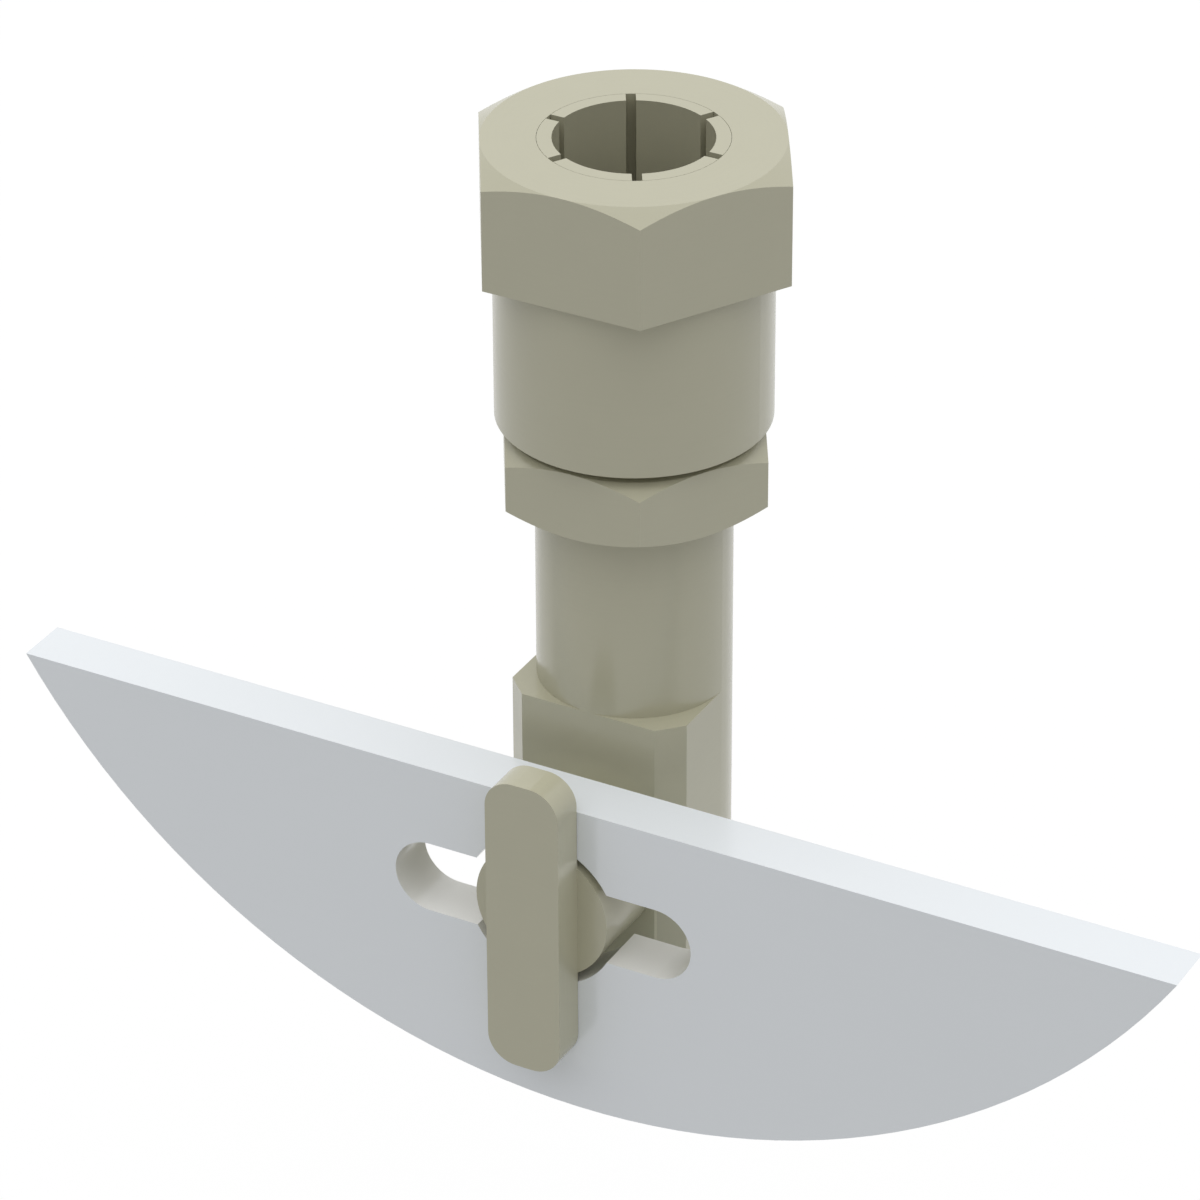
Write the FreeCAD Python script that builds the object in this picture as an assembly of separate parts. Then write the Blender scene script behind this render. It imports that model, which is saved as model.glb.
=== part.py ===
# Crescent blade stirrer: a folding blade on a keyed foot, and a split collet that grips an 8 mm shaft.
# Millimetres. +Z runs up the shaft, +X along the blade's straight edge, and the blade hangs on the -Y side.
# The origin is the centre of the shaft hole, on the face where nut and collet end flush.

import FreeCAD, Part
import math
import os

Vector = FreeCAD.Vector
UP = Vector(0, 0, 1)
FORWARD = Vector(0, -1, 0)

# Shaft and collet. The collet is pushed down into its seat by the nut and closes on the shaft.
SHAFT_RADIUS = 4.0
COLLET_NOSE_RADIUS = 4.74
COLLET_SHOULDER_RADIUS = 5.35
COLLET_GROOVE_RADIUS = 4.85
COLLET_TAPER_RADIUS = 5.2
COLLET_TAPER_ANGLE = 4.0
COLLET_LENGTH = 13.4
NOSE_LENGTH = 4.9
SHOULDER_TOP = 6.0
SHOULDER_BOTTOM = 6.9
GROOVE_TOP = 7.2
GROOVE_BOTTOM = 8.0
TAPER_TOP = 8.35
SLIT_COUNT = 6
SLIT_WIDTH = 0.5
SLIT_DEPTH = 11.0

# Nut: a hexagon for the spanner over a round skirt, with the thread inside the skirt.
NUT_ACROSS_FLATS = 15.0
NUT_HEX_HEIGHT = 6.05
NUT_LENGTH = 15.12
SKIRT_RADIUS = 6.98
SKIRT_EDGE = 0.05
HEX_CHAMFER_ANGLE = 30.0
THREAD_RADIUS = 5.95
THREAD_START = 8.25
LIP_RADIUS = 5.0
LIP_TOP = 7.35
LIP_BOTTOM = 7.8

# Body: threaded spigot, spanner hexagon, round rod and the flat-fronted foot, turned and milled in one.
SPIGOT_TOP = 8.3
BODY_HEX_TOP = 15.6
BODY_HEX_BOTTOM = 19.25
BODY_ACROSS_FLATS = 13.0
ROD_RADIUS = 5.0
FOOT_TOP = 30.08
FOOT_HEIGHT = 18.0
FOOT_CORNER = 1.2
FOOT_EDGE = 0.5
SHAFT_HOLE_DEPTH = 18.0
DRILL_POINT_ANGLE = 118.0
RELIEF_WIDTH = 1.2
RELIEF_DEPTH = 0.45
THREAD_LEAD = 0.4

# Key: a round hub that the blade turns on, and a bar across its front that keeps the blade on.
HUB_DEPTH = 39.1
HUB_RADIUS = 3.75
SHANK_RADIUS = 2.5
SHANK_LENGTH = 7.5
SHANK_EDGE = 0.4
SHANK_HOLE_SPARE = 0.5
BAR_WIDTH = 4.15
BAR_LENGTH = 16.9
BAR_THICKNESS = 1.97
BAR_CORNER_RADIUS = 1.6

# Blade: a circle segment. Turned upright, it is pushed on or off over the bar. The slot in the soft sheet
# is a tenth of a millimetre narrower than the bar, so the blade can't drop off by itself.
BLADE_LENGTH = 65.15
BLADE_HEIGHT = 17.95
BLADE_THICKNESS = 3.0
BLADE_OFFSET = 2.05
BLADE_EDGE_ABOVE_HUB = 6.5
SLOT_LENGTH = 17.0
SLOT_WIDTH = 4.05
OPENING_RADIUS = 4.24

# Clearances between pieces that move on each other. The nut's mouth is the closest fit.
RUNNING_GAP = 0.03
MOUTH_GAP = 0.02
BLADE_GAP = 0.02

HUB_CENTRE = Vector(0, 0, -HUB_DEPTH)
BLADE_BACK = SKIRT_RADIUS + BLADE_GAP
BLADE_FRONT = BLADE_BACK + BLADE_THICKNESS
BAR_BACK = BLADE_FRONT + RUNNING_GAP


def tangent(degrees):
    return math.tan(math.radians(degrees))


def turned(profile):
    """A solid of revolution about the shaft axis, from (radius, height) points."""
    points = [Vector(radius, 0, height) for radius, height in profile]
    section = Part.Face(Part.makePolygon(points + points[:1]))
    return section.revolve(Vector(0, 0, 0), UP, 360)


def hexagon(across_flats, top, bottom, chamfer_bottom):
    """A hexagonal bar with two flats facing front and back, its ends chamfered as a turned cone."""
    flat = across_flats / 2
    corner = flat / math.cos(math.radians(30))
    drop = (corner - flat) * tangent(HEX_CHAMFER_ANGLE)
    corners = []
    for index in range(6):
        angle = math.radians(60 * index)
        corners.append(Vector(corner * math.cos(angle), corner * math.sin(angle), bottom))
    bar = Part.Face(Part.makePolygon(corners + corners[:1])).extrude(UP * (top - bottom))
    if chamfer_bottom:
        lower_end = [(corner, bottom + drop), (flat, bottom)]
    else:
        lower_end = [(corner, bottom)]
    cone = turned([(0, top), (flat, top), (corner, top - drop)] + lower_end + [(0, bottom)])
    return bar.common(cone)


def rounded_plate(width, height, radius, centre, back, thickness):
    """A plate that faces forward, with round corners. It spans from back to back + thickness."""
    x = width / 2
    z = height / 2
    bend = radius * (1 - math.sqrt(0.5))
    start = FORWARD * back + centre
    edges = []
    for turn_x, turn_z in ((1, 1), (-1, 1), (-1, -1), (1, -1)):
        beside = start + Vector(turn_x * x, 0, turn_z * (z - radius))
        above = start + Vector(turn_x * (x - radius), 0, turn_z * z)
        middle = start + Vector(turn_x * (x - bend), 0, turn_z * (z - bend))
        ends = (beside, middle, above) if turn_x == turn_z else (above, middle, beside)
        edges.append(Part.Arc(*ends).toShape())
    outline = []
    for index, arc in enumerate(edges):
        following = edges[(index + 1) % len(edges)]
        outline.append(arc)
        leave = arc.Vertexes[-1].Point
        arrive = following.Vertexes[0].Point
        if leave.distanceToPoint(arrive) > 1e-6:
            outline.append(Part.LineSegment(leave, arrive).toShape())
    return Part.Face(Part.Wire(outline)).extrude(FORWARD * thickness)


def collet_taper_radius(depth):
    return COLLET_TAPER_RADIUS - (depth - TAPER_TOP) * tangent(COLLET_TAPER_ANGLE)


def collet():
    """A sleeve with a nose cone, a groove that the nut pulls it out by, a long taper and six slits."""
    sleeve = turned([
        (SHAFT_RADIUS, 0),
        (COLLET_NOSE_RADIUS, 0),
        (COLLET_NOSE_RADIUS, -NOSE_LENGTH),
        (COLLET_SHOULDER_RADIUS, -SHOULDER_TOP),
        (COLLET_SHOULDER_RADIUS, -SHOULDER_BOTTOM),
        (COLLET_GROOVE_RADIUS, -GROOVE_TOP),
        (COLLET_GROOVE_RADIUS, -GROOVE_BOTTOM),
        (COLLET_TAPER_RADIUS, -TAPER_TOP),
        (collet_taper_radius(COLLET_LENGTH), -COLLET_LENGTH),
        (SHAFT_RADIUS, -COLLET_LENGTH),
    ])
    reach = COLLET_SHOULDER_RADIUS + 1
    for index in range(SLIT_COUNT):
        cutter = Part.makeBox(reach, SLIT_WIDTH, SLIT_DEPTH + 1, Vector(0, -SLIT_WIDTH / 2, -SLIT_DEPTH))
        cutter.rotate(Vector(0, 0, 0), UP, index * 360 / SLIT_COUNT)
        sleeve = sleeve.cut(cutter)
    return sleeve


def collet_nut():
    """Hexagon and skirt outside; mouth, cone, pull-out lip and threaded bore inside."""
    hexagonal_end = hexagon(NUT_ACROSS_FLATS, 0, -NUT_HEX_HEIGHT, False)
    skirt = turned([
        (0, -NUT_HEX_HEIGHT / 2),
        (SKIRT_RADIUS, -NUT_HEX_HEIGHT / 2),
        (SKIRT_RADIUS, -NUT_LENGTH + SKIRT_EDGE),
        (SKIRT_RADIUS - SKIRT_EDGE, -NUT_LENGTH),
        (0, -NUT_LENGTH),
    ])
    mouth = COLLET_NOSE_RADIUS + MOUTH_GAP
    shoulder = COLLET_SHOULDER_RADIUS + RUNNING_GAP
    thread = THREAD_RADIUS + RUNNING_GAP
    inside = turned([
        (0, 1),
        (mouth, 1),
        (mouth, -NOSE_LENGTH + RUNNING_GAP),
        (shoulder, -SHOULDER_TOP + RUNNING_GAP),
        (shoulder, -GROOVE_TOP),
        (LIP_RADIUS, -LIP_TOP),
        (LIP_RADIUS, -LIP_BOTTOM),
        (thread, -THREAD_START),
        (thread, -NUT_LENGTH + THREAD_LEAD),
        (thread + THREAD_LEAD, -NUT_LENGTH),
        (thread + THREAD_LEAD, -NUT_LENGTH - 1),
        (0, -NUT_LENGTH - 1),
    ])
    return hexagonal_end.fuse(skirt).removeSplitter().cut(inside)


def foot():
    """The lower end of the body: round behind, square in front, with its two front corners cut off."""
    side = ROD_RADIUS
    front = -ROD_RADIUS
    bottom = -FOOT_TOP - FOOT_HEIGHT
    outline = [
        Vector(-side, 0, bottom),
        Vector(-side, front + FOOT_CORNER, bottom),
        Vector(-side + FOOT_CORNER, front, bottom),
        Vector(side - FOOT_CORNER, front, bottom),
        Vector(side, front + FOOT_CORNER, bottom),
        Vector(side, 0, bottom),
    ]
    edges = [Part.LineSegment(start, end).toShape() for start, end in zip(outline, outline[1:])]
    edges.append(Part.Arc(outline[-1], Vector(0, side, bottom), outline[0]).toShape())
    block = Part.Face(Part.Wire(edges)).extrude(UP * FOOT_HEIGHT)
    rim = [edge for edge in block.Edges if edge.BoundBox.ZMax < bottom + 0.01]
    return block.makeChamfer(FOOT_EDGE, rim)


def adapter_body():
    """Spigot, hexagon, rod and foot in one piece, with the collet seat, shaft hole and key hole."""
    seat_top = collet_taper_radius(SPIGOT_TOP) + RUNNING_GAP
    seat_end = collet_taper_radius(COLLET_LENGTH) + RUNNING_GAP
    seat_depth = COLLET_LENGTH + RUNNING_GAP
    spigot = turned([
        (0, -SPIGOT_TOP),
        (THREAD_RADIUS - THREAD_LEAD, -SPIGOT_TOP),
        (THREAD_RADIUS, -SPIGOT_TOP - THREAD_LEAD),
        (THREAD_RADIUS, -BODY_HEX_TOP + RELIEF_WIDTH),
        (THREAD_RADIUS - RELIEF_DEPTH, -BODY_HEX_TOP + RELIEF_WIDTH - RELIEF_DEPTH),
        (THREAD_RADIUS - RELIEF_DEPTH, -BODY_HEX_TOP),
        (ROD_RADIUS, -BODY_HEX_TOP),
        (ROD_RADIUS, -FOOT_TOP),
        (0, -FOOT_TOP),
    ])
    flange = hexagon(BODY_ACROSS_FLATS, -BODY_HEX_TOP, -BODY_HEX_BOTTOM, True)
    point = SHAFT_RADIUS / tangent(DRILL_POINT_ANGLE / 2)
    hole = turned([
        (0, -SPIGOT_TOP + 1),
        (seat_top, -SPIGOT_TOP + 1),
        (seat_top, -SPIGOT_TOP),
        (seat_end, -seat_depth),
        (SHAFT_RADIUS, -seat_depth),
        (SHAFT_RADIUS, -SHAFT_HOLE_DEPTH),
        (0, -SHAFT_HOLE_DEPTH - point),
    ])
    key_hole_length = SHANK_LENGTH + SHANK_HOLE_SPARE
    key_hole = Part.makeCylinder(SHANK_RADIUS, key_hole_length + 1, HUB_CENTRE + FORWARD * (ROD_RADIUS + 1),
                                 -FORWARD)
    solid = spigot.fuse(flange).fuse(foot()).removeSplitter()
    return solid.cut(hole).cut(key_hole)


def blade_key():
    """The hub with its shank, which is pressed into the foot, and the upright bar across its front."""
    face = HUB_CENTRE + FORWARD * ROD_RADIUS
    hub = Part.makeCylinder(HUB_RADIUS, BAR_BACK - ROD_RADIUS, face, FORWARD)
    shank = Part.makeCylinder(SHANK_RADIUS, SHANK_LENGTH - SHANK_EDGE, face, -FORWARD)
    tip = Part.makeCone(SHANK_RADIUS, SHANK_RADIUS - SHANK_EDGE, SHANK_EDGE,
                        face - FORWARD * (SHANK_LENGTH - SHANK_EDGE), -FORWARD)
    bar = rounded_plate(BAR_WIDTH, BAR_LENGTH, BAR_CORNER_RADIUS, HUB_CENTRE, BAR_BACK, BAR_THICKNESS)
    return hub.fuse(shank).fuse(tip).fuse(bar).removeSplitter()


def blade():
    """The crescent plate, with a round opening for the hub and a slot across it for the bar."""
    edge = HUB_CENTRE + FORWARD * BLADE_BACK + Vector(BLADE_OFFSET, 0, BLADE_EDGE_ABOVE_HUB)
    left = edge - Vector(BLADE_LENGTH / 2, 0, 0)
    right = edge + Vector(BLADE_LENGTH / 2, 0, 0)
    lowest = edge - Vector(0, 0, BLADE_HEIGHT)
    outline = Part.Wire([Part.Arc(left, lowest, right).toShape(), Part.LineSegment(right, left).toShape()])
    plate = Part.Face(outline).extrude(FORWARD * BLADE_THICKNESS)
    slot = rounded_plate(SLOT_LENGTH, SLOT_WIDTH, SLOT_WIDTH / 2, HUB_CENTRE, BLADE_BACK - 1,
                         BLADE_THICKNESS + 2)
    opening = Part.makeCylinder(OPENING_RADIUS, BLADE_THICKNESS + 2, HUB_CENTRE + FORWARD * (BLADE_BACK - 1),
                                FORWARD)
    return plate.cut(slot.fuse(opening).removeSplitter())


os.makedirs("parts", exist_ok=True)
for make_piece in (collet, collet_nut, adapter_body, blade_key, blade):
    piece = make_piece()
    solid = piece.Solids[0]
    solid.exportStep(f"parts/{make_piece.__name__}.step")
    print(make_piece.__name__, "solids", len(piece.Solids), "valid", solid.isValid(),
          "volume", round(solid.Volume, 2))
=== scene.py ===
# %% [markdown]
# # A crescent blade stirrer, dressed for its portrait
# The stirrer's real shapes come from CAD: a clamping nut with a split collet, an adapter body, the
# key that the blade turns on, and the crescent blade. They are loaded first, as a fixed frame, and
# are never moved or reshaped here. What Blender adds is what CAD doesn't know: a camera, light, and
# what each surface is made of and how it was cut.

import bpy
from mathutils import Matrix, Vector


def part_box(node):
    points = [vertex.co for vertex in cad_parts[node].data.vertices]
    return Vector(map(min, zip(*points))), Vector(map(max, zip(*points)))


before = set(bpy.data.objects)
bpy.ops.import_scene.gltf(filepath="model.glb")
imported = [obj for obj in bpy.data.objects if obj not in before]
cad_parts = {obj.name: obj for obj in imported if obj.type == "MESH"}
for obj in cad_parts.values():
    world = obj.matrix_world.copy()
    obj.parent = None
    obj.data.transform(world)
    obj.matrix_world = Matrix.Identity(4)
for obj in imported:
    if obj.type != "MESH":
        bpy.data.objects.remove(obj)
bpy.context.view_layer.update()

# %% [markdown]
# ## The camera
# A product picture like this one is taken with a long lens, so that upright edges stay nearly
# parallel. The place and the lens were worked out from the stirrer's own edges: the camera stands
# 28 degrees to the right of the blade's face and looks down by 31 degrees. Three turns, one after
# the other, aim it. They could be typed as one set of Euler angles, but matrices keep the small roll
# apart from the rest.

# %% Place the camera
import bpy
from math import radians
from mathutils import Matrix, Vector

CAMERA_PLACE = Vector((0.125469, -0.235165, 0.132105))
CAMERA_AZIMUTH, CAMERA_ELEVATION, CAMERA_ROLL = 28.456, 30.694, -0.254

bpy.ops.object.select_all(action="DESELECT")
bpy.ops.object.camera_add()
camera = bpy.context.object
camera.name = "portrait_camera"
camera.matrix_world = (
    Matrix.Translation(CAMERA_PLACE)
    @ Matrix.Rotation(radians(CAMERA_AZIMUTH), 4, "Z")
    @ Matrix.Rotation(radians(90 - CAMERA_ELEVATION), 4, "X")
    @ Matrix.Rotation(radians(CAMERA_ROLL), 4, "Z")
)
camera.data.sensor_width = 36.0
camera.data.lens = 183.56
camera.data.clip_start, camera.data.clip_end = 0.01, 20.0
bpy.context.scene.camera = camera
print("camera is", round(CAMERA_PLACE.length * 1000), "mm from the stirrer's top")

# %% [markdown]
# ## Shader maths that reads like maths
# A material in Blender is a graph of nodes. Wiring each Math node by hand hides the idea behind it,
# so one small class stands for a socket and knows plus, minus, times and power, and one method makes
# any other node. After this cell, a pattern is one line of Python. The last method is used by both
# the sky and the floor: it tells the rays that should see plain white from those that carry light.

# %% A socket that can be added and multiplied
class Wire:
    """One output of a node. Sums and products of wires add the Math nodes that they need."""

    def __init__(self, graph, socket):
        self.graph, self.socket = graph, socket

    def __add__(self, other):
        return self.graph.maths("ADD", self, other)

    def __sub__(self, other):
        return self.graph.maths("SUBTRACT", self, other)

    def __mul__(self, other):
        return self.graph.maths("MULTIPLY", self, other)

    def __pow__(self, other):
        return self.graph.maths("POWER", self, other)

    def __radd__(self, other):
        return self.graph.maths("ADD", other, self)

    def __rsub__(self, other):
        return self.graph.maths("SUBTRACT", other, self)

    def __rmul__(self, other):
        return self.graph.maths("MULTIPLY", other, self)


class Graph:
    """The node tree of one material or world."""

    def __init__(self, owner):
        owner.use_nodes = True
        self.tree = owner.node_tree
        self.tree.nodes.clear()

    def node(self, kind, sockets=(), out=0, **settings):
        """Makes one node: its settings first, then its sockets. Gives one output, or all by name."""
        made = self.tree.nodes.new(kind)
        for key, value in settings.items():
            setattr(made, key, value)
        for key, value in dict(sockets).items():
            if isinstance(value, Wire):
                self.tree.links.new(value.socket, made.inputs[key])
            else:
                made.inputs[key].default_value = value
        if out is None:
            return {socket.name: Wire(self, socket) for socket in made.outputs}
        return Wire(self, made.outputs[out]) if len(made.outputs) else made

    def maths(self, operation, first, second=0.0, clamp=False):
        sockets = {0: first, 1: second}
        return self.node("ShaderNodeMath", sockets, operation=operation, use_clamp=clamp)

    def mix_colour(self, factor, first, second):
        sockets = {0: factor, 6: first, 7: second}
        return self.node("ShaderNodeMix", sockets, out=2, data_type="RGBA")

    def mix_shader(self, factor, first, second):
        return self.node("ShaderNodeMixShader", {0: factor, 1: first, 2: second})

    def part_of(self, vector, axis):
        """One of the three numbers of a vector: 0 is x, 1 is y, 2 is z."""
        return self.node("ShaderNodeSeparateXYZ", {0: vector}, out=axis)

    def white_rays(self):
        """1 for a ray from the lens, from a gloss or through a clear piece, and 0 for any other."""
        ray = self.node("ShaderNodeLightPath", out=None)
        lens_or_gloss = ray["Is Camera Ray"] + ray["Is Glossy Ray"]
        return self.maths("ADD", lens_or_gloss, ray["Is Transmission Ray"], clamp=True)


# %% [markdown]
# ## Light like an overcast sky
# The picture has no hard shadow and both sides of the round parts are equally bright, so the light
# comes evenly from all round and mostly from above, as in a white light tent. Area lamps could
# imitate that, but a dome of light does it with one formula: a direction's brightness grows with its
# height. The lens and the gloss on the plastic see plain white instead.

# %% Build the dome
DOME_BASE, DOME_RISE, DOME_FOCUS = 0.10, 1.66, 1.5
WHITE = (1.0, 1.0, 1.0, 1.0)

world = bpy.data.worlds.new("light_tent")
bpy.context.scene.world = world
sky = Graph(world)
height = sky.part_of(sky.node("ShaderNodeTexCoord", out=None)["Generated"], 2)
glow = sky.maths("MAXIMUM", height, 0.0) ** DOME_FOCUS * DOME_RISE + DOME_BASE
tent = sky.node("ShaderNodeBackground", {"Color": WHITE, "Strength": glow})
backdrop = sky.node("ShaderNodeBackground", {"Color": WHITE, "Strength": 1.0})
lit = sky.mix_shader(sky.white_rays(), tent, backdrop)
sky.node("ShaderNodeOutputWorld", {"Surface": lit})
bpy.context.scene.view_settings.view_transform = "Standard"
print("dome at the zenith:", DOME_BASE + DOME_RISE)

# %% [markdown]
# ## The floor
# The stirrer hangs above a pale table, just so high that the blade clears it however it is turned:
# the corner that lies farthest from the hub says how high that is. The table is one wide disc, so
# far across that its rim never shows. To the lens it is almost white, with a share of the real
# shading left in, so a soft shadow stays. The stirrer itself gets an even light from below: a real
# table would be dark where the stirrer shades it, but the picture shows the blade's low side and the
# crevices bright.

# %% Lay the floor
key_low, key_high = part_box("blade_key")
blade_low, blade_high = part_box("blade")
hub = Vector((0.0, 0.0, (key_low.z + key_high.z) / 2))
ends, edges = (blade_low.x, blade_high.x), (blade_low.z, blade_high.z)
swing = max((Vector((x, 0, z)) - hub).length for x in ends for z in edges)

FLOOR_GAP, FLOOR_RADIUS = 0.0005, 3.0
FLOOR_COLOUR = (0.47, 0.47, 0.47, 1.0)
FLOOR_GLOW, GLOW_SHARE = 0.49, 0.85
FLOOR_GLARE, SHADE_KEPT = 1.132, 0.2

bpy.ops.object.select_all(action="DESELECT")
bpy.ops.mesh.primitive_circle_add(
    vertices=96, radius=FLOOR_RADIUS, fill_type="NGON", location=(0, 0, hub.z - swing - FLOOR_GAP)
)
floor = bpy.context.object
floor.name = "pale_table"
table_top = bpy.data.materials.new("pale_table")
top = Graph(table_top)
matt = top.node("ShaderNodeBsdfDiffuse", {"Color": FLOOR_COLOUR})
even = top.node("ShaderNodeEmission", {"Color": WHITE, "Strength": FLOOR_GLOW})
glare = top.node("ShaderNodeEmission", {"Color": WHITE, "Strength": FLOOR_GLARE})
to_stirrer = top.mix_shader(GLOW_SHARE, matt, even)
to_lens = top.mix_shader(1 - SHADE_KEPT, matt, glare)
surface = top.mix_shader(top.white_rays(), to_stirrer, to_lens)
top.node("ShaderNodeOutputMaterial", {"Surface": surface})
table_top.cycles.emission_sampling = "NONE"
floor.data.materials.append(table_top)
print("floor lies at", round(1000 * floor.location.z, 2), "mm")

# %% [markdown]
# ## Beige plastic, turned on a lathe
# The nut, collet, body and key are cut from PEEK, a hard beige engineering plastic. It has a soft
# gloss, and the cutting tool leaves very fine rings round the axis that the part was turned on. The
# rings could be a plain wave, but real ones vary, so a noise that reads only one number draws them:
# the height along the walls and the distance from the axis on the faces. They are faint, as the
# picture shows.
#
# A tone paints shade and light into some places: painted shade darkens the walls of the shaft hole,
# and painted light brightens the foot close round the hub and the milled rim of the bar in front of
# the blade.

# %% Say where shade and light are painted
# Painted shade: the walls of the shaft hole are made darker.
BORE_REACH, BORE_PAINTED_SHADE = 4.8, 0.13
# Painted light: the foot's front is made lighter close round the hub, where the blade shades it.
PAINTED_LIGHT_REACH, PAINTED_LIGHT_FADE, PAINTED_LIGHT_GAIN = 6.5, 0.7, 0.2
FOOT_FRONT = -4.9
# Painted light: the walls of the bar in front of the blade are made lighter.
RIM_PAINTED_LIGHT = 0.07

blade_front = 1000 * blade_low.y


def painted_shade_and_light_of_body(g, x, y, z, wall):
    """Painted shade in the shaft hole and painted light on the foot round the hub, for the nut,
    collet and body, from places in mm.
    """
    # painted shade: darkens the walls of the shaft hole
    bore = g.maths("LESS_THAN", x * x + y * y, BORE_REACH**2) * wall
    rise = z - 1000 * hub.z
    far = (x * x + rise * rise) ** 0.5
    # painted light: brightens the foot's front round the hub, fading outward
    near = g.maths("MULTIPLY", PAINTED_LIGHT_REACH - far, PAINTED_LIGHT_FADE, clamp=True)
    front = g.maths("LESS_THAN", y, FOOT_FRONT) * wall
    return 1 - bore * BORE_PAINTED_SHADE + near * front * PAINTED_LIGHT_GAIN


def painted_light_of_key(g, x, y, z, wall):
    """Painted light on the walls of the key's bar in front of the blade, where z runs forward out of
    the foot, below zero.
    """
    # painted light: brightens the bar's walls in front of the blade
    return 1 + g.maths("LESS_THAN", z, blade_front) * wall * RIM_PAINTED_LIGHT


print("hub axis at", round(1000 * hub.z, 2), "mm, blade's front at", round(blade_front, 2), "mm")

# %% [markdown]
# One function mixes the plastic for any lathe axis. It moves that axis to the middle and turns it
# upright, and from there on all the maths is in millimetres. The nut, collet and body were turned on
# the same axis, so they can share one material. The key was turned on the hub's axis, which lies a
# quarter turn away, so it gets a second one.

# %% Mix the beige plastic
BEIGE = (0.490, 0.4755, 0.352)
BEIGE_SPREAD = 0.025
FACE_LIMIT = 0.3
IN_MM = (1000, 1000, 1000)


def tinted(colour, amount):
    return (*[channel * amount for channel in colour], 1.0)


def turned_plastic(name, tone_of, turn=(0.0, 0.0, 0.0), centre=(0.0, 0.0, 0.0)):
    """Beige plastic with rings about the axis through centre (in metres) that turn sets upright."""
    material = bpy.data.materials.new(name)
    g = Graph(material)
    at = g.node("ShaderNodeTexCoord", out=None)
    moved = g.node("ShaderNodeVectorMath", {0: at["Object"], 1: centre}, operation="SUBTRACT")
    placed = g.node("ShaderNodeMapping", {"Vector": moved, "Rotation": turn, "Scale": IN_MM})
    facing = g.node("ShaderNodeMapping", {"Vector": at["Normal"], "Rotation": turn})
    x, y, z = (g.part_of(placed, axis) for axis in range(3))
    face = g.maths("GREATER_THAN", g.maths("ABSOLUTE", g.part_of(facing, 2)), FACE_LIMIT)
    path = (x * x + y * y) ** 0.5 * face + z * (1 - face)
    rings = g.node(
        "ShaderNodeTexNoise", {"W": path, "Scale": 5.0, "Detail": 2.0}, noise_dimensions="1D"
    )
    cloud = g.node("ShaderNodeTexNoise", {"Vector": placed, "Scale": 0.45, "Detail": 3.0})
    dark, light = tinted(BEIGE, 1 - BEIGE_SPREAD), tinted(BEIGE, 1 + BEIGE_SPREAD)
    colour = g.mix_colour(cloud * 0.7 + rings * 0.3, dark, light)
    # tone_of gives the painted shade and light for these pieces
    tone = tone_of(g, x, y, z, 1 - face)
    toned = g.node("ShaderNodeVectorMath", {0: colour, "Scale": tone}, operation="SCALE")
    grooves = g.node("ShaderNodeBump", {"Strength": 1.0, "Distance": 0.0000015, "Height": rings})
    plastic = g.node(
        "ShaderNodeBsdfPrincipled",
        {"Base Color": toned, "Roughness": rings * 0.06 + 0.19, "IOR": 1.55, "Normal": grooves},
    )
    g.node("ShaderNodeOutputMaterial", {"Surface": plastic})
    return material


upright = turned_plastic("beige_turned_upright", painted_shade_and_light_of_body)
for name in ("collet", "collet_nut", "adapter_body"):
    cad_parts[name].data.materials[0] = upright

sideways = turned_plastic("beige_turned_hub", painted_light_of_key, (radians(90), 0.0, 0.0), hub)
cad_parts["blade_key"].data.materials[0] = sideways
print("beige pieces:", [name for name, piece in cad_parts.items() if name != "blade"])

# %% [markdown]
# ## White PTFE sheet
# The blade is cut from PTFE, a waxy white plastic. Sheet like this is peeled from a block, so its
# faces carry faint long streaks, while the cut edge shows short marks across its thickness. Both are
# noise that is stretched along the direction of the cut. A plain noise without direction would look
# like moulded plastic instead. The walls of the opening are painted creamier and lighter: painted
# warm light, standing in for the light that the beige hub and foot bounce onto them. A box round the
# opening, less the two faces, picks them out.

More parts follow.
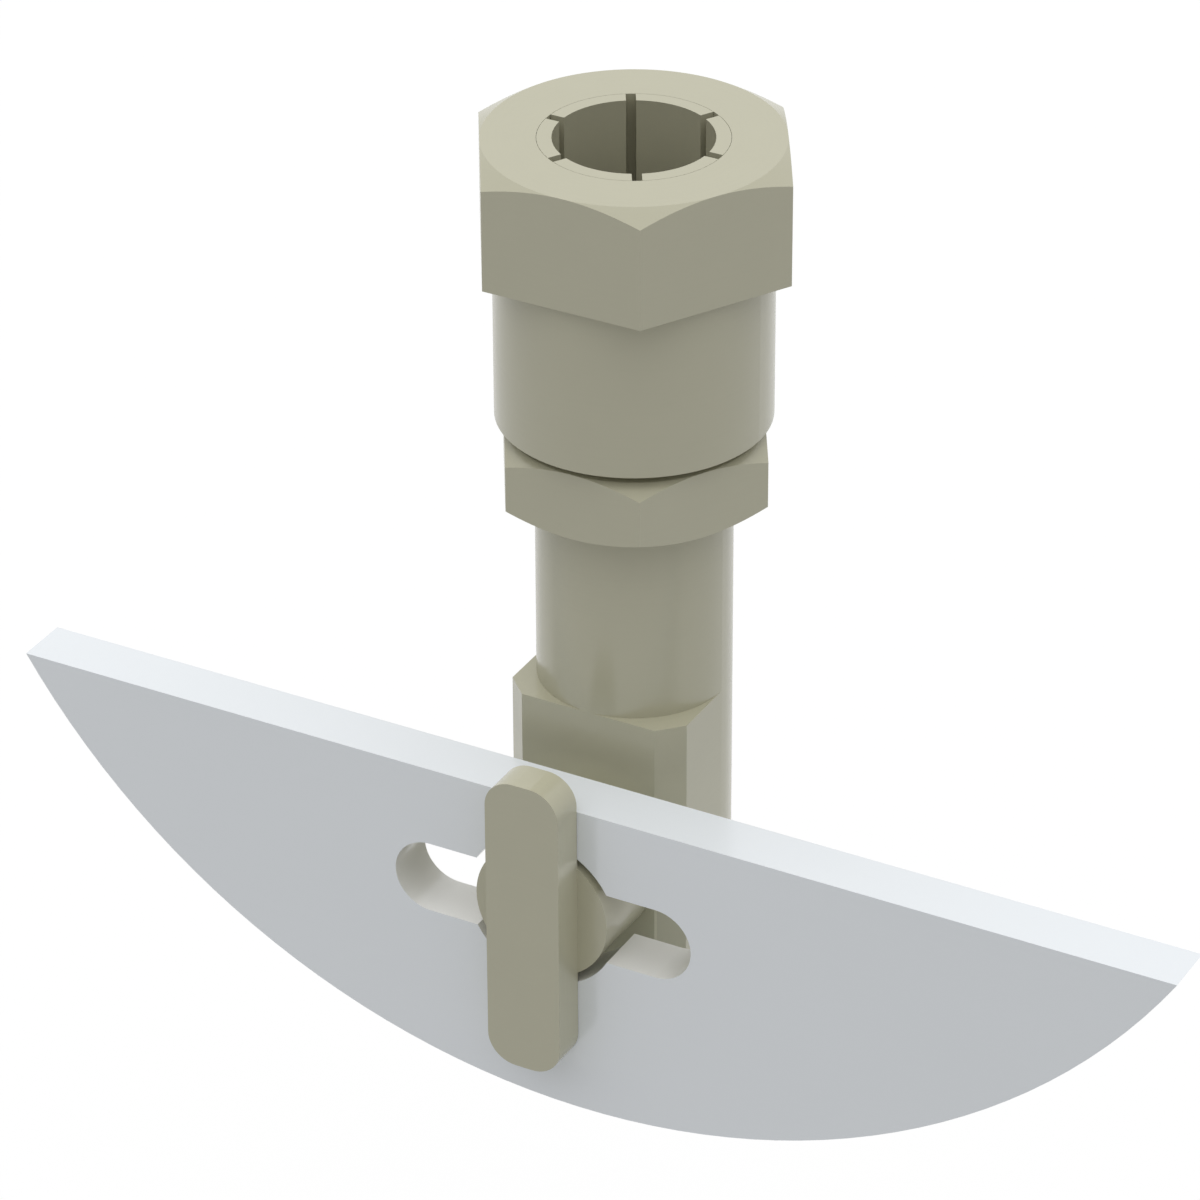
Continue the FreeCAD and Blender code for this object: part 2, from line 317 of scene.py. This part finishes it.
# %% Mix the white plastic
SNOW = (0.818, 0.855, 0.889)
SNOW_SPREAD = 0.015
# Painted warm light: the creamier colour of the opening's walls stands in for light bounced from the
# beige parts.
PAINTED_WARM_LIGHT = (0.870, 0.870, 0.850)
OPENING_REACH = (0.0090, 0.0045)
STREAKS, MARKS = (60, 250, 2600), (1800, 60, 1800)


def stretched_noise(g, place, scales):
    """Noise drawn out along the axes whose scale is small."""
    drawn_out = g.node("ShaderNodeMapping", {"Vector": place, "Scale": scales})
    return g.node("ShaderNodeTexNoise", {"Vector": drawn_out, "Scale": 1.0, "Detail": 2.0})


white = bpy.data.materials.new("white_sheet")
g = Graph(white)
at = g.node("ShaderNodeTexCoord", out=None)
face = g.maths("GREATER_THAN", g.maths("ABSOLUTE", g.part_of(at["Normal"], 1)), 0.5)
streaks = stretched_noise(g, at["Object"], STREAKS)
marks = stretched_noise(g, at["Object"], MARKS)
grain = streaks * face + marks * (1 - face)
cloud = g.node("ShaderNodeTexNoise", {"Vector": at["Object"], "Scale": 140.0, "Detail": 3.0})
dark, light = tinted(SNOW, 1 - SNOW_SPREAD), tinted(SNOW, 1 + SNOW_SPREAD)
snow = g.mix_colour(cloud * 0.8 + grain * 0.2, dark, light)
across = g.maths("ABSOLUTE", g.part_of(at["Object"], 0))
upward = g.maths("ABSOLUTE", g.part_of(at["Object"], 2) - hub.z)
beside = g.maths("LESS_THAN", across, OPENING_REACH[0])
near = g.maths("LESS_THAN", upward, OPENING_REACH[1])
# painted warm light on the walls of the opening
colour = g.mix_colour(beside * near * (1 - face), snow, (*PAINTED_WARM_LIGHT, 1.0))
skin = g.node("ShaderNodeBump", {"Strength": 1.0, "Distance": 0.000001, "Height": grain})
sheet = g.node(
    "ShaderNodeBsdfPrincipled",
    {"Base Color": colour, "Roughness": grain * 0.06 + 0.12, "IOR": 1.75, "Normal": skin},
)
g.node("ShaderNodeOutputMaterial", {"Surface": sheet})
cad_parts["blade"].data.materials[0] = white
print("materials:", sorted(m.name for m in bpy.data.materials if m.users))
